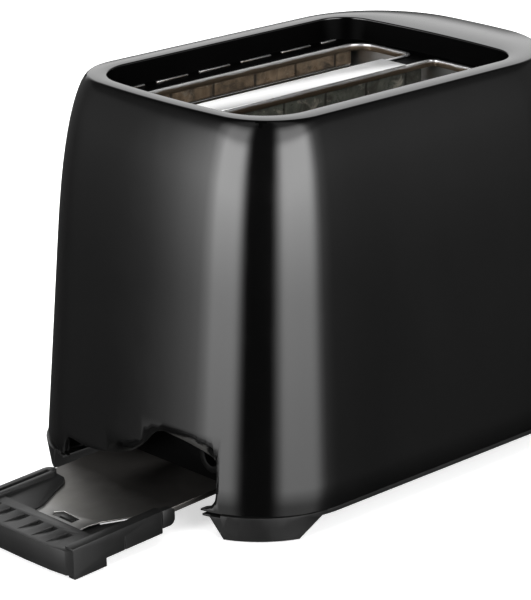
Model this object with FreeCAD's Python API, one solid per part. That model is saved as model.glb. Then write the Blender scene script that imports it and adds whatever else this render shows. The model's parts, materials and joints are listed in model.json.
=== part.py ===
import FreeCAD, Part
import math
import os

# Two-slice pop-up toaster, millimetres, +Z up, standing on its feet at z = 0.
# While it is being built, x = 0 is the foot of the crumb tray's end wall, +X points
# to the lever's end wall, and y = 0 is the middle plane between the two bread slots.
# save() moves everything by -ORIGIN_X, so that the stored origin is the centre of
# the footprint with the crumb tray drawn out.

# ---- housing -------------------------------------------------------------------
BODY_LENGTH = 252.0
BODY_HALF_WIDTH = 85.7
BODY_HEIGHT = 185.0
SHELL_BOTTOM_Z = 12.8
SHELL_WALL = 2.6
NEAR_CORNER_R = 48.8
FAR_CORNER_R = 70.0
END_BOW_R = 450.0
DRAFT = 0.061
NEAR_END_LEAN = 1.2
FAR_END_LEAN = 1.1
SHOULDER_START_Z = 106.0
SHOULDER_WIDTH = 9.1
SHOULDER_RISE_POWER = 2.7
SHOULDER_TURN_POWER = 1.75
SHOULDER_STEPS = 14

# ---- recess around the bread slots ---------------------------------------------
WELL_NEAR_X = 29.8
WELL_FAR_X = 199.9
WELL_HALF_WIDTH = 57.4
WELL_NEAR_R = 24.0
WELL_FAR_R = 17.0
WELL_FLOOR_Z = 174.2
WELL_FLOOR_THICK = 1.0
WELL_FLOOR_REACH = 4.0
WELL_DRAFT = 1.6
WELL_WALL = 2.2
VENT_COUNT = 6
VENT_LENGTH = 20.5
VENT_WIDTH = 2.0
VENT_PITCH = 26.8
VENT_FIRST_X = 54.0
VENT_Y = 54.2

# ---- bread slots ---------------------------------------------------------------
SLOT_NEAR_X = 42.0
SLOT_FAR_X = 190.8
SLOT_INNER_Y = 7.9
SLOT_OUTER_Y = 39.8
SLOT_OUTER_R = 8.5
SLOT_INNER_R = 3.0
SHEET = 0.8
LIP_FLANGE = 1.2
LIP_TOP_Z = 175.1
SKIRT_BOTTOM_Z = 172.0
FRAME_Z = WELL_FLOOR_Z - WELL_FLOOR_THICK - SHEET
FRAME_HALF_WIDTH = 56.0
TAB_LENGTH = 19.6
TAB_THICK = 1.2
TAB_TOP_Z = 174.6
DIVIDER_NEAR_X = 48.0
DIVIDER_FAR_X = 172.5
DIVIDER_HALF_WIDTH = 7.8
SLOT_MID_X = 0.5 * (SLOT_NEAR_X + SLOT_FAR_X)
SLOT_MID_Y = 0.5 * (SLOT_INNER_Y + SLOT_OUTER_Y)

# ---- chassis -------------------------------------------------------------------
REAR_PLATE_X = 36.5
FRONT_PLATE_X = 194.0
PLATE_HALF_WIDTH = 54.0
CHASSIS_BOTTOM_Z = 24.0
CHASSIS_TOP_Z = FRAME_Z
REFLECTOR_Y = 52.0
RAIL_Y = 53.0
RAIL_HEIGHT = 9.0
RAIL_WIDTH = 7.0
CLEAR = 0.4
RUNNING = 0.05

# ---- heaters -------------------------------------------------------------------
BOARD_THICK = 0.8
BOARD_Y = 46.5
BOARD_BOTTOM_Z = 36.0
BOARD_TOP_Z = 171.0
RIBBON_RUNS = 9
RIBBON_LOW_Z = BOARD_BOTTOM_Z + 8.0
RIBBON_HIGH_Z = BOARD_TOP_Z - 16.0
RIBBON_HEIGHT = 2.6
RIBBON_THICK = 0.4

# ---- bread guides --------------------------------------------------------------
GUIDE_WIRES = 6
GUIDE_PITCH = 26.0
GUIDE_R = 0.8
GUIDE_PIVOT_R = 1.0
GUIDE_PIVOT_Z = 33.0
GUIDE_TOP_Z = 166.0
GUIDE_INNER_Y = 10.0
GUIDE_OUTER_Y = 37.8

# ---- bread carriage (modelled raised) ------------------------------------------
LIFT_TRAVEL = 58.0
RACK_Z = 98.0
RACK_HEIGHT = 7.0
RACK_WIDTH = 14.0
RACK_FINGERS = 9
RACK_TAIL_X = 30.0
ROD_X = 208.0
ROD_Y = -13.0
ROD_R = 2.5
BUSH_SIZE = 13.0
BUSH_HEIGHT = 26.0
BRACKET_X = 198.5
ARM_Z = 138.0
ARM_HEIGHT = 10.0
ARM_THICK = 2.0
ARM_END_X = BODY_LENGTH + 12.0
KNOB_NEAR_X = BODY_LENGTH - 2.5
KNOB_FAR_X = BODY_LENGTH + 18.0
KNOB_HALF_WIDTH = 18.0
KNOB_HEIGHT = 17.0
SPRING_Y = 14.0
SPRING_R = 3.5
SPRING_WIRE_R = 0.5
SPRING_TURNS = 15
SPRING_TOP_Z = 162.0
MAGNET_Y = -32.0

# ---- controls ------------------------------------------------------------------
CONTROL_BOARD_X = BODY_LENGTH - 21.5
CONTROL_BOARD_THICK = 1.6
DIAL_Z = 50.0
DIAL_R = 17.0
DIAL_THICK = 12.0
POT_SHAFT_R = 3.0
BUTTON_Y = -29.0
BUTTON_Z = 70.0
BUTTON_R = 7.0
BUTTON_SETBACK = 2.0
SWITCH_THICK = 3.4
SWITCH_NEAR_Y = 31.6
SWITCH_FAR_Y = 45.6
PANEL_THICK = 0.9
PANEL_HALF_WIDTH = 40.0
PANEL_LOW_Z = 27.0
PANEL_HIGH_Z = 160.0
LEVER_SLOT_HALF = 2.6
LEVER_SLOT_LOW_Z = 76.0
LEVER_SLOT_HIGH_Z = 152.0

# ---- base ----------------------------------------------------------------------
PAN_FLOOR_Z = 9.4
PAN_FLOOR_THICK = 2.2
PAN_RIM_TOP_Z = 23.0
PAN_RIM_INSET = 3.9
PAN_RIM_THICK = 2.0
FOOT_TOP_INSETS = (0.5, 25.9)
FOOT_BOTTOM_INSETS = (2.5, 21.9)
NEAR_FOOT_ANGLES = ((18.0, 84.0), (26.0, 68.0))
FAR_FOOT_ANGLES = ((30.0, 72.0), (34.0, 62.0))
FOOT_BOTTOM_Z = 0.8
PAD_TOP_Z = 2.8
PAD_INSETS = (5.4, 18.9)
NEAR_PAD_ANGLES = (31.0, 63.0)
FAR_PAD_ANGLES = (37.0, 58.0)
PILLAR_R = 5.0
PILLAR_X = (60.0, 172.0)
PILLAR_Y = 49.5
BASE_SCREW_R = 1.5

# ---- crumb tray and the opening it slides through ------------------------------
TRAY_TILT = 2.6
TRAY_Z = 15.5
TRAY_LEFT_Y = 30.2
TRAY_RIGHT_Y = -40.2
TRAY_TIP_X = -66.0
TRAY_END_X = 129.0
TRAY_SHEET = 0.7
TRAY_FLANGE = 2.6
TRAY_BACK_LIP = 1.0
HANDLE_LEFT_Y = 29.2
HANDLE_RIGHT_Y = -43.8
HANDLE_FRONT_X = -71.0
HANDLE_ROOT_X = -51.0
HANDLE_TOP = 1.6
HANDLE_DEPTH = 8.0
HANDLE_FRONT_DEPTH = 9.8
HANDLE_LEG_DEPTH = 11.8
HANDLE_WALL = 3.4
LEFT_WEB_TOP = 0.9
LEFT_RAIL_TOP = 3.0
LEFT_RAIL_WIDTH = 7.0
LEFT_RAIL_TIP_X = -19.0
RIGHT_WEB_TOP = -1.6
RIGHT_RAIL_TOP = 2.4
RIGHT_RAIL_WIDTH = 5.3
RIGHT_RAIL_TIP_X = -16.0
FINGER_TIP_X = -9.0
GRIP_COUNT = 6
GRIP_PITCH = 9.6
GRIP_FIRST_Y = 18.2
GRIP_WIDTH = 4.0
GRIP_NEAR_X = -69.0
GRIP_FAR_X = -56.5
GRIP_DEPTH = 1.5
OPENING_LEFT_Y = 45.0
OPENING_RIGHT_Y = -54.3
OPENING_HIGH_Z = 43.6
RECESS_WALL_X = 16.5
RECESS_WALL_BOTTOM_Z = 21.5
GLAND_Y = -46.0
GLAND_Z = 35.5
GLAND_R = 7.5
GLAND_BORE_R = 4.2

TRAY_SLOPE = math.radians(TRAY_TILT)
HANDLE_REACH = HANDLE_TOP * math.sin(TRAY_SLOPE) - HANDLE_FRONT_X * math.cos(TRAY_SLOPE)
ORIGIN_X = 0.5 * (KNOB_FAR_X - HANDLE_REACH)
PART_FOLDER = "parts"
PLAY = 0.3
CUT = 1.0


def vec(x, y, z):
    return FreeCAD.Vector(x, y, z)


X_AXIS = vec(1, 0, 0)
Y_AXIS = vec(0, 1, 0)


def box(x0, x1, y0, y1, z0, z1):
    return Part.makeBox(x1 - x0, y1 - y0, z1 - z0, vec(x0, y0, z0))


def rod(radius, start, end):
    path = end - start
    return Part.makeCylinder(radius, path.Length, start, path)


def fuse(shapes):
    return shapes[0].multiFuse(shapes[1:]).removeSplitter()


def save(name, shape):
    moved = shape.copy()
    moved.translate(vec(-ORIGIN_X, 0, 0))
    moved.exportStep(os.path.join(PART_FOLDER, name + ".step"))


def both_sides(shape):
    """The shape and its mirror image across the middle plane."""
    return [shape, shape.mirror(vec(0, 0, 0), Y_AXIS)]


def prism(points, z0, z1):
    """Upright prism over a closed outline of (x, y) points."""
    corners = [vec(x, y, z0) for x, y in points]
    face = Part.Face(Part.makePolygon(corners + corners[:1]))
    return face.extrude(vec(0, 0, z1 - z0))


def end_prism(points, x0, x1):
    """Prism along X over a closed outline of (y, z) points."""
    corners = [vec(x0, y, z) for y, z in points]
    face = Part.Face(Part.makePolygon(corners + corners[:1]))
    return face.extrude(vec(x1 - x0, 0, 0))


def round_upright(shape, radius, where):
    """Round the upright edges whose middle point passes the test."""
    edges = []
    for edge in shape.Edges:
        bounds = edge.BoundBox
        if bounds.XLength < 0.01 and bounds.YLength < 0.01 and where(edge.CenterOfMass):
            edges.append(edge)
    return shape.makeFillet(radius, edges)


# ---- outline family of the housing ---------------------------------------------
def side_inset(z):
    """How far the outer skin has leaned in at height z."""
    lean = DRAFT * (z - SHELL_BOTTOM_Z)
    t = max(0.0, (z - SHOULDER_START_Z) / (BODY_HEIGHT - SHOULDER_START_Z))
    turned = (1.0 - t ** SHOULDER_RISE_POWER) ** (1.0 / SHOULDER_TURN_POWER)
    return lean + SHOULDER_WIDTH * (1.0 - turned)


def corner_points(near, half, radius, bow, sign):
    """Tangent points of one corner arc: on the long side, halfway, on the bowed end."""
    reach = bow - radius
    centre_x = near + sign * (bow - math.sqrt(reach ** 2 - (half - radius) ** 2))
    centre = vec(centre_x, half - radius, 0)
    hub = vec(near + sign * bow, 0, 0)
    on_side = vec(centre_x, half, 0)
    on_end = hub + (centre - hub) * (bow / reach)
    middle = (on_side - centre) + (on_end - centre)
    middle.normalize()
    return on_side, centre + middle * radius, on_end


def outline(near, far, half, r_near, r_far, z):
    """Closed wire: straight long sides, slightly bowed ends, round corners."""
    near_side, near_mid, near_end = corner_points(near, half, r_near, END_BOW_R, 1)
    far_side, far_mid, far_end = corner_points(far, half, r_far, END_BOW_R, -1)

    def at(point, side):
        return vec(point.x, side * point.y, z)

    near_tip = vec(near, 0, z)
    far_tip = vec(far, 0, z)
    edges = [
        Part.LineSegment(at(near_side, -1), at(far_side, -1)),
        Part.Arc(at(far_side, -1), at(far_mid, -1), at(far_end, -1)),
        Part.Arc(at(far_end, -1), far_tip, at(far_end, 1)),
        Part.Arc(at(far_end, 1), at(far_mid, 1), at(far_side, 1)),
        Part.LineSegment(at(far_side, 1), at(near_side, 1)),
        Part.Arc(at(near_side, 1), at(near_mid, 1), at(near_end, 1)),
        Part.Arc(at(near_end, 1), near_tip, at(near_end, -1)),
        Part.Arc(at(near_end, -1), at(near_mid, -1), at(near_side, -1)),
    ]
    return Part.Wire([edge.toShape() for edge in edges])


def housing_outline(z, inward, level=None):
    """Outline of the housing at height z, moved inward by the given amount."""
    inset = side_inset(z)
    return outline(
        NEAR_END_LEAN * inset + inward,
        BODY_LENGTH - FAR_END_LEAN * inset - inward,
        BODY_HALF_WIDTH - inset - inward,
        NEAR_CORNER_R - inset - inward,
        FAR_CORNER_R - inset - inward,
        z if level is None else level,
    )


def housing_solid(inward, top):
    """Drafted lower walls and a rounded shoulder, up to the given height."""
    rise = BODY_HEIGHT - SHOULDER_START_Z
    levels = [SHELL_BOTTOM_Z]
    for index in range(SHOULDER_STEPS):
        z = SHOULDER_START_Z + rise * math.sin(0.5 * math.pi * index / SHOULDER_STEPS)
        if z < top - 0.3:
            levels.append(z)
    return Part.makeLoft([housing_outline(z, inward) for z in levels + [top]], True, True)


def straight_solid(inward, z0, z1):
    """Upright slab with the housing's bottom outline, moved inward."""
    face = Part.Face(housing_outline(SHELL_BOTTOM_Z, inward, z0))
    return face.extrude(vec(0, 0, z1 - z0))


def well_outline(inward, z):
    return outline(
        WELL_NEAR_X + inward,
        WELL_FAR_X - inward,
        WELL_HALF_WIDTH - inward,
        WELL_NEAR_R - inward,
        WELL_FAR_R - inward,
        z,
    )


def well_solid(grow):
    """The recess above the floor as a solid with sloping walls, grown outward."""
    foot = well_outline(WELL_DRAFT - grow, WELL_FLOOR_Z)
    return Part.makeLoft([foot, well_outline(-grow, BODY_HEIGHT)], True, True)


def slot_prism(grow, z0, z1):
    """One bread slot's outline, grown outward by the given amount, as a prism."""
    block = box(SLOT_NEAR_X - grow, SLOT_FAR_X + grow, SLOT_INNER_Y - grow,
                SLOT_OUTER_Y + grow, z0, z1)
    block = round_upright(block, SLOT_OUTER_R + grow, lambda c: c.y > SLOT_MID_Y)
    return round_upright(block, SLOT_INNER_R + grow, lambda c: c.y < SLOT_MID_Y)


def end_wall_opening():
    """The tray's low opening, which rises into a tall bay on the -Y side."""
    low = SHELL_BOTTOM_Z - CUT
    points = [
        (OPENING_LEFT_Y, low), (OPENING_LEFT_Y - 1.5, 19.0), (OPENING_LEFT_Y - 4.5, 22.6),
        (30.0, 21.6), (20.0, 22.4), (5.5, 25.4), (-4.7, 29.2), (-11.4, 34.4), (-16.0, 39.3),
        (-19.5, 42.2), (-23.5, OPENING_HIGH_Z), (-38.3, 42.2), (-47.3, 40.4),
        (OPENING_RIGHT_Y + 1.6, 38.0), (OPENING_RIGHT_Y + 0.4, 35.4), (OPENING_RIGHT_Y, 19.0),
        (OPENING_RIGHT_Y + 2.3, 15.6), (OPENING_RIGHT_Y + 7.1, 14.2), (OPENING_RIGHT_Y + 7.1, low),
    ]
    return end_prism(points, -20.0, RECESS_WALL_X + 0.5)


def vent_slits():
    slits = []
    for index in range(VENT_COUNT):
        middle = VENT_FIRST_X + index * VENT_PITCH
        slit = box(middle - VENT_LENGTH / 2, middle + VENT_LENGTH / 2,
                   VENT_Y - VENT_WIDTH / 2, VENT_Y + VENT_WIDTH / 2,
                   WELL_FLOOR_Z - WELL_FLOOR_THICK - CUT, WELL_FLOOR_Z + CUT)
        slits += both_sides(slit)
    return slits


def lever_slot(grow, x0, x1):
    return box(x0, x1, -LEVER_SLOT_HALF - grow, LEVER_SLOT_HALF + grow,
               LEVER_SLOT_LOW_Z - grow, LEVER_SLOT_HIGH_Z + grow)


def make_body_shell():
    """Outer moulding: drafted walls, a rolled shoulder and the recess's sloping walls."""
    outer = housing_solid(0.0, BODY_HEIGHT)
    well = well_solid(0.0)
    cavity = housing_solid(SHELL_WALL, BODY_HEIGHT - SHELL_WALL).cut(well_solid(WELL_WALL))
    cutters = [cavity, well, end_wall_opening()]
    end_x = BODY_LENGTH - 40.0
    cutters.append(lever_slot(PLAY, end_x, BODY_LENGTH + CUT))
    cutters.append(rod(POT_SHAFT_R + 1.5, vec(end_x, 0, DIAL_Z), vec(BODY_LENGTH + CUT, 0, DIAL_Z)))
    cutters.append(rod(BUTTON_R + PLAY, vec(end_x, BUTTON_Y, BUTTON_Z),
                       vec(BODY_LENGTH + CUT, BUTTON_Y, BUTTON_Z)))
    return outer.cut(cutters)


def make_well_floor():
    """Plate that closes the recess from below, with holes for the slots, bridge and tabs."""
    low = WELL_FLOOR_Z - WELL_FLOOR_THICK
    high = WELL_FLOOR_Z + CUT
    plate = Part.Face(well_outline(WELL_DRAFT - WELL_FLOOR_REACH, low))
    plate = plate.extrude(vec(0, 0, WELL_FLOOR_THICK))
    slot_hole = slot_prism(SHEET + PLAY, low - CUT, high)
    bridge_half = SLOT_INNER_Y - SHEET
    bridge_hole = box(DIVIDER_NEAR_X + 3, DIVIDER_FAR_X - 3, -bridge_half, bridge_half,
                      low - CUT, high)
    return plate.cut(both_sides(slot_hole) + [bridge_hole] + vent_slits())


def make_control_panel():
    """Thin plate that follows the lever end wall, with the control openings in it."""
    top = BODY_HEIGHT - 10.0
    skin = housing_solid(-PANEL_THICK, top).cut(housing_solid(0.0, top))
    window = box(BODY_LENGTH - 60.0, BODY_LENGTH + 5.0, -PANEL_HALF_WIDTH, PANEL_HALF_WIDTH,
                 PANEL_LOW_Z, PANEL_HIGH_Z)
    along_x = []
    for edge in window.Edges:
        bounds = edge.BoundBox
        if bounds.YLength < 0.01 and bounds.ZLength < 0.01:
            along_x.append(edge)
    window = window.makeFillet(14.0, along_x)
    end_x = BODY_LENGTH - 40.0
    cutters = [
        lever_slot(0.0, end_x, BODY_LENGTH + 5.0),
        rod(POT_SHAFT_R + 1.0, vec(end_x, 0, DIAL_Z), vec(BODY_LENGTH + 5.0, 0, DIAL_Z)),
        rod(BUTTON_R + PLAY, vec(end_x, BUTTON_Y, BUTTON_Z),
            vec(BODY_LENGTH + 5.0, BUTTON_Y, BUTTON_Z)),
    ]
    return skin.common(window).cut(cutters)


# ---- base ----------------------------------------------------------------------
def sector_wire(corner_r, insets, angles, z):
    """Closed ring sector inside the near right corner of the given radius, seen from above."""
    centre = vec(corner_r, corner_r - BODY_HALF_WIDTH, z)

    def at(radius, degrees):
        angle = math.radians(degrees)
        return centre + vec(-radius * math.cos(angle), -radius * math.sin(angle), 0)

    outer, inner = corner_r - insets[0], corner_r - insets[1]
    start, end = angles
    middle = 0.5 * (start + end)
    edges = [
        Part.Arc(at(outer, start), at(outer, middle), at(outer, end)),
        Part.LineSegment(at(outer, end), at(inner, end)),
        Part.Arc(at(inner, end), at(inner, middle), at(inner, start)),
        Part.LineSegment(at(inner, start), at(outer, start)),
    ]
    return Part.Wire([edge.toShape() for edge in edges])


def four_corners(near, far):
    """Near and far shapes, both drawn at the near right corner, put at the four corners."""
    far = far.mirror(vec(BODY_LENGTH / 2, 0, 0), X_AXIS)
    return both_sides(near) + both_sides(far)


def foot_block(corner_r, angles):
    top_angles, bottom_angles = angles
    top = sector_wire(corner_r, FOOT_TOP_INSETS, top_angles, SHELL_BOTTOM_Z - 0.2)
    bottom = sector_wire(corner_r, FOOT_BOTTOM_INSETS, bottom_angles, FOOT_BOTTOM_Z)
    return Part.makeLoft([bottom, top], True, True)


def foot_blocks():
    near = foot_block(NEAR_CORNER_R, NEAR_FOOT_ANGLES)
    return four_corners(near, foot_block(FAR_CORNER_R, FAR_FOOT_ANGLES))


def foot_pad(corner_r, angles):
    return Part.Face(sector_wire(corner_r, PAD_INSETS, angles, 0.0)).extrude(vec(0, 0, PAD_TOP_Z))


def foot_pads():
    near = foot_pad(NEAR_CORNER_R, NEAR_PAD_ANGLES)
    return four_corners(near, foot_pad(FAR_CORNER_R, FAR_PAD_ANGLES))


def pillar_places():
    return [(x, side * PILLAR_Y) for x in PILLAR_X for side in (-1, 1)]


def make_base_pan():
    floor_top = PAN_FLOOR_Z + PAN_FLOOR_THICK
    floor = straight_solid(PAN_RIM_INSET, PAN_FLOOR_Z, floor_top)
    rim = straight_solid(PAN_RIM_INSET, PAN_FLOOR_Z, PAN_RIM_TOP_Z)
    rim_inside = PAN_RIM_INSET + PAN_RIM_THICK
    rim = rim.cut(straight_solid(rim_inside, PAN_FLOOR_Z - CUT, PAN_RIM_TOP_Z + CUT))
    ledge = straight_solid(0.5, PAN_FLOOR_Z + 1.2, SHELL_BOTTOM_Z - 0.2)
    ledge = ledge.cut(straight_solid(PAN_RIM_INSET + 0.5, PAN_FLOOR_Z, SHELL_BOTTOM_Z))
    pieces = [floor, rim, ledge] + foot_blocks()
    for x, y in pillar_places():
        pieces.append(rod(PILLAR_R, vec(x, y, PAN_FLOOR_Z), vec(x, y, CHASSIS_BOTTOM_Z)))
    pan = fuse(pieces)
    tray_gap = box(-5.0, 68.0, HANDLE_RIGHT_Y - 3.0, HANDLE_LEFT_Y + 3.0, -CUT, PAN_RIM_TOP_Z + CUT)
    rim_gap = box(-5.0, 30.0, OPENING_RIGHT_Y + 6.5, OPENING_LEFT_Y, PAN_FLOOR_Z - CUT,
                  PAN_RIM_TOP_Z + CUT)
    bay_gap = box(-5.0, 30.0, OPENING_RIGHT_Y - 3.0, OPENING_LEFT_Y + 3.0, floor_top,
                  PAN_RIM_TOP_Z + CUT)
    cutters = [tray_gap, rim_gap, bay_gap] + foot_pads()
    for x, y in pillar_places():
        cutters.append(rod(BASE_SCREW_R, vec(x, y, 0), vec(x, y, CHASSIS_BOTTOM_Z + CUT)))
        cutters.append(rod(2 * BASE_SCREW_R + PLAY, vec(x, y, 0), vec(x, y, PAN_FLOOR_Z + 3.2)))
    return pan.cut(cutters)


def make_base_screws():
    screws = []
    for x, y in pillar_places():
        shank = rod(BASE_SCREW_R - PLAY / 2, vec(x, y, PAN_FLOOR_Z + 2.0),
                    vec(x, y, CHASSIS_BOTTOM_Z + 4.0))
        head = rod(2 * BASE_SCREW_R, vec(x, y, PAN_FLOOR_Z + 1.0), vec(x, y, PAN_FLOOR_Z + 3.2))
        screws.append(shank.fuse(head))
    return Part.makeCompound(screws)


def make_recess_panel():
    """Wall behind the end opening, above the tray, which carries the cord gland."""
    wall = box(RECESS_WALL_X, RECESS_WALL_X + 2.0, OPENING_RIGHT_Y - 2.0, OPENING_LEFT_Y + 2.0,
               RECESS_WALL_BOTTOM_Z, OPENING_HIGH_Z + 4.0)
    roof = box(9.5, RECESS_WALL_X + 2.0, OPENING_RIGHT_Y + 13.0, 12.0,
               OPENING_HIGH_Z + 1.0, OPENING_HIGH_Z + 3.0)
    hole = rod(GLAND_R, vec(0, GLAND_Y, GLAND_Z), vec(30, GLAND_Y, GLAND_Z))
    return fuse([wall, roof]).cut(hole)


def make_cord_gland():
    """Short bush with a flange on each side of the recess wall."""
    start = RECESS_WALL_X - 6.0
    body = rod(GLAND_R, vec(start, GLAND_Y, GLAND_Z), vec(RECESS_WALL_X + 6.0, GLAND_Y, GLAND_Z))
    front = rod(GLAND_R + 1.8, vec(RECESS_WALL_X - 2.0, GLAND_Y, GLAND_Z),
                vec(RECESS_WALL_X, GLAND_Y, GLAND_Z))
    back = rod(GLAND_R + 1.8, vec(RECESS_WALL_X + 2.0, GLAND_Y, GLAND_Z),
               vec(RECESS_WALL_X + 4.0, GLAND_Y, GLAND_Z))
    bore = rod(GLAND_BORE_R, vec(0, GLAND_Y, GLAND_Z), vec(40, GLAND_Y, GLAND_Z))
    return fuse([body, front, back]).cut(bore)


# ---- crumb tray ----------------------------------------------------------------
def tilted(shape):
    """Lay a piece that was drawn level with its top at z = 0 on the sloping tray plane."""
    placed = shape.copy()
    placed.rotate(vec(0, 0, 0), Y_AXIS, -TRAY_TILT)
    placed.translate(vec(0, 0, TRAY_Z))
    return placed


def sheet_outline():
    return [
        (TRAY_END_X, TRAY_RIGHT_Y), (TRAY_END_X, TRAY_LEFT_Y), (-17.0, TRAY_LEFT_Y),
        (-24.0, 18.0), (-45.0, 8.0), (TRAY_TIP_X, 6.0), (TRAY_TIP_X, -27.0),
        (-44.0, -26.9), (-38.0, -28.0), (-24.3, -34.8), (-15.0, -39.7), (-13.0, TRAY_RIGHT_Y),
    ]


def make_crumb_tray():
    sheet = prism(sheet_outline(), -TRAY_SHEET, 0.0)
    left = box(-12.0, TRAY_END_X, TRAY_LEFT_Y - TRAY_SHEET, TRAY_LEFT_Y, -TRAY_FLANGE, 0.0)
    right = box(-12.0, TRAY_END_X, TRAY_RIGHT_Y, TRAY_RIGHT_Y + TRAY_SHEET, -TRAY_FLANGE, 0.0)
    back = box(TRAY_END_X - TRAY_SHEET, TRAY_END_X, TRAY_RIGHT_Y, TRAY_LEFT_Y,
               -TRAY_SHEET, TRAY_BACK_LIP)
    slot = prism([(-47.0, -19.2), (-42.0, -19.2), (-41.4, -7.5), (-44.6, -4.8), (-47.0, -6.0)],
                 -CUT, CUT)
    return tilted(fuse([sheet, left, right, back]).cut(slot))


def front_bar():
    """Bar across the tray's tip, with a slightly bowed front and a deeper front wall."""
    outline_points = [
        (HANDLE_ROOT_X, HANDLE_RIGHT_Y), (HANDLE_ROOT_X, HANDLE_LEFT_Y), (-67.0, HANDLE_LEFT_Y),
        (-69.4, 27.0), (HANDLE_FRONT_X + 0.6, 18.0), (HANDLE_FRONT_X, 2.0), (HANDLE_FRONT_X, -16.0),
        (HANDLE_FRONT_X + 0.6, -32.0), (-69.4, -41.0), (-67.0, HANDLE_RIGHT_Y),
    ]
    bar = prism(outline_points, -HANDLE_FRONT_DEPTH, HANDLE_TOP)
    behind = box(-66.0, 0.0, HANDLE_RIGHT_Y - CUT, HANDLE_LEFT_Y + CUT,
                 -HANDLE_FRONT_DEPTH - CUT, -HANDLE_DEPTH)
    return bar.cut(behind)


def left_arm():
    """Web on top of the sheet and, along its outer edge, a rail with a channel in it."""
    points = [
        (HANDLE_ROOT_X, 2.0), (-43.9, 3.2), (-32.2, 9.5), (-23.7, 13.4), (-19.5, 18.0),
        (-18.9, 24.0), (-18.9, HANDLE_LEFT_Y), (HANDLE_ROOT_X, HANDLE_LEFT_Y),
    ]
    web = prism(points, -HANDLE_DEPTH, LEFT_WEB_TOP)
    inner_y = HANDLE_LEFT_Y - LEFT_RAIL_WIDTH
    middle_y = HANDLE_LEFT_Y - LEFT_RAIL_WIDTH / 2
    rail = box(-67.0, LEFT_RAIL_TIP_X - 3, inner_y, HANDLE_LEFT_Y, 0.0, LEFT_RAIL_TOP)
    tip = rod(LEFT_RAIL_WIDTH / 2, vec(LEFT_RAIL_TIP_X - 3, middle_y, 0.0),
              vec(LEFT_RAIL_TIP_X - 3, middle_y, LEFT_RAIL_TOP))
    channel = box(-52.0, LEFT_RAIL_TIP_X - 3, middle_y - 1.4, middle_y + 1.0,
                  LEFT_WEB_TOP, LEFT_RAIL_TOP + CUT)
    return fuse([web, rail, tip]).cut(channel)


def right_arm():
    """Sunken web under the sheet's edge, a rail with a leg, and a rounded end finger."""
    points = [
        (HANDLE_ROOT_X, -26.0), (-44.0, -25.9), (-38.0, -27.0), (-24.3, -33.8), (-16.0, -38.2),
        (RIGHT_RAIL_TIP_X, HANDLE_RIGHT_Y), (HANDLE_ROOT_X, HANDLE_RIGHT_Y),
    ]
    web = prism(points, -HANDLE_DEPTH, RIGHT_WEB_TOP)
    rail = box(-67.0, RIGHT_RAIL_TIP_X, HANDLE_RIGHT_Y, HANDLE_RIGHT_Y + RIGHT_RAIL_WIDTH,
               -HANDLE_DEPTH, RIGHT_RAIL_TOP)
    leg = box(-67.0, -49.0, HANDLE_RIGHT_Y, HANDLE_RIGHT_Y + 4.0, -HANDLE_LEG_DEPTH, 0.0)
    finger_width = TRAY_RIGHT_Y - PLAY - HANDLE_RIGHT_Y
    finger = box(RIGHT_RAIL_TIP_X - CUT, FINGER_TIP_X, HANDLE_RIGHT_Y + 0.2,
                 HANDLE_RIGHT_Y + finger_width, -HANDLE_DEPTH + 2, RIGHT_RAIL_TOP - 0.2)
    far_upright = []
    for edge in finger.Edges:
        if edge.BoundBox.XLength < 0.01 and edge.CenterOfMass.x > FINGER_TIP_X - 0.1:
            if edge.BoundBox.ZLength < 0.01:
                far_upright.append(edge)
    finger = finger.makeFillet(3.0, far_upright)
    joint = box(RIGHT_RAIL_TIP_X - 0.7, RIGHT_RAIL_TIP_X, HANDLE_RIGHT_Y - CUT, HANDLE_RIGHT_Y + 0.7,
                -HANDLE_DEPTH - CUT, RIGHT_RAIL_TOP + CUT)
    seam = box(-38.6, -38.0, HANDLE_RIGHT_Y - CUT, HANDLE_RIGHT_Y + 0.5, -HANDLE_DEPTH - CUT,
               -HANDLE_DEPTH + 6)
    return fuse([web, rail, leg, finger]).cut([joint, seam])


def finger_grooves():
    """Row of grip scoops, each deepening towards the tray."""
    grooves = []
    for index in range(GRIP_COUNT):
        low_y = GRIP_FIRST_Y - index * GRIP_PITCH - GRIP_WIDTH / 2
        profile = [
            vec(GRIP_NEAR_X, low_y, HANDLE_TOP), vec(GRIP_FAR_X, low_y, HANDLE_TOP - GRIP_DEPTH),
            vec(GRIP_FAR_X, low_y, HANDLE_TOP + CUT), vec(GRIP_NEAR_X, low_y, HANDLE_TOP + CUT),
        ]
        face = Part.Face(Part.makePolygon(profile + profile[:1]))
        grooves.append(face.extrude(vec(0, GRIP_WIDTH, 0)))
    return grooves


def make_tray_handle():
    sheet = prism(sheet_outline(), -TRAY_SHEET, 0.0)
    tongue = box(-60.0, -36.0, -25.0, 0.0, -HANDLE_WALL, -TRAY_SHEET)
    hollow = box(HANDLE_FRONT_X + 5.0, HANDLE_ROOT_X + 1.0, HANDLE_RIGHT_Y + 6.0,
                 HANDLE_LEFT_Y - 3.0, -HANDLE_FRONT_DEPTH - CUT, -HANDLE_WALL)
    pad = box(-45.5, -43.0, -17.5, -9.5, -TRAY_SHEET - 0.5, -0.1)
    handle = fuse([front_bar(), left_arm(), right_arm()])
    handle = handle.cut([hollow, sheet] + finger_grooves())
    return tilted(fuse([handle, tongue, pad]))


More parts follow.
